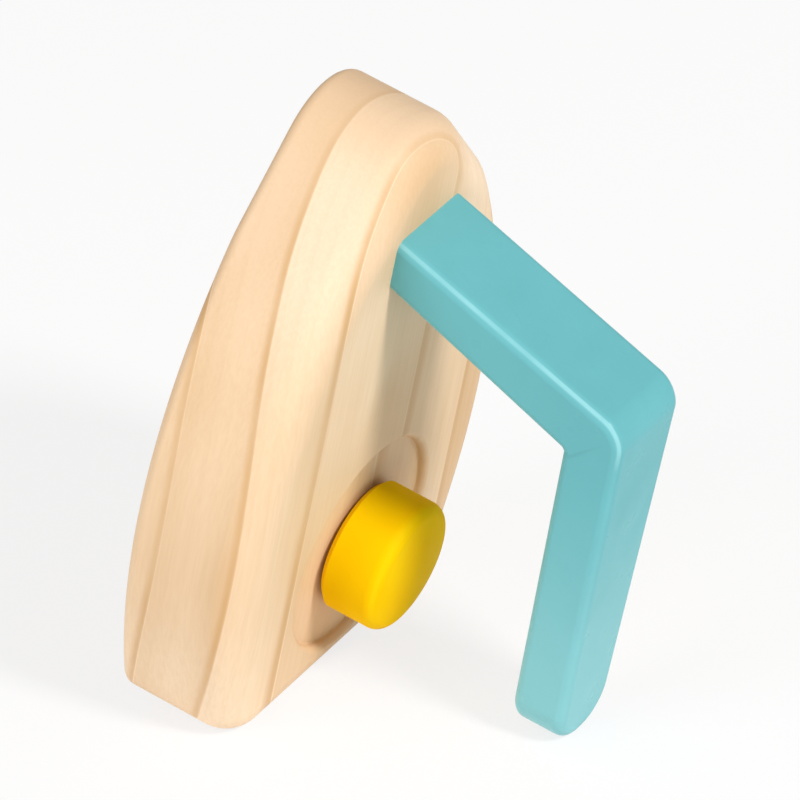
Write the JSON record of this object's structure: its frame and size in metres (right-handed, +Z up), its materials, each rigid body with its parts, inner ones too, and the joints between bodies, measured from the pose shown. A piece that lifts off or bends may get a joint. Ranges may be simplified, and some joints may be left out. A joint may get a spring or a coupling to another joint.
{
  "type": "toy iron",
  "caption": "Toy iron: thick iron-shaped block with rounded rims, bent handle open at the back, and a round dial knob that turns in a shallow pocket; it stands on its heel and the handle's end.",
  "frame": {"origin": "on the ground, centred under the bounding box of the whole toy in its standing pose", "axes": "+Z up, +X from the sole to the handle's side, +Y across the toy, which is symmetric about the XZ plane"},
  "size_m": [0.117, 0.1036, 0.154],
  "materials": {
    "body_wood": "pale softwood, sanded, clear satin lacquer",
    "dowel_wood": "plain beech dowel, sanded",
    "teal_paint": "wood under satin teal paint",
    "yellow_paint": "turned wood under satin yellow paint",
    "zinc_steel": "zinc-plated steel",
    "felt": "pressed wool felt"
  },
  "bodies": {
    "iron": {"body_block": "body_wood", "handle": "teal_paint", "handle_dowels": "dowel_wood", "handle_screw": "zinc_steel", "handle_screw_plug": "dowel_wood", "dial_felt_washer": "felt", "dial_plug": "dowel_wood"},
    "dial": {"dial_knob": "yellow_paint", "dial_axle": "dowel_wood", "dial_retaining_washer": "zinc_steel", "dial_retaining_screw": "zinc_steel"}
  },
  "joints": [
    {"name": "dial_turn", "type": "hinge", "parent": "iron", "child": "dial", "pos_m": [-0.01935, 0, 0.03291], "axis": [0.9703, 0, -0.2419], "continuous": true}
  ]
}
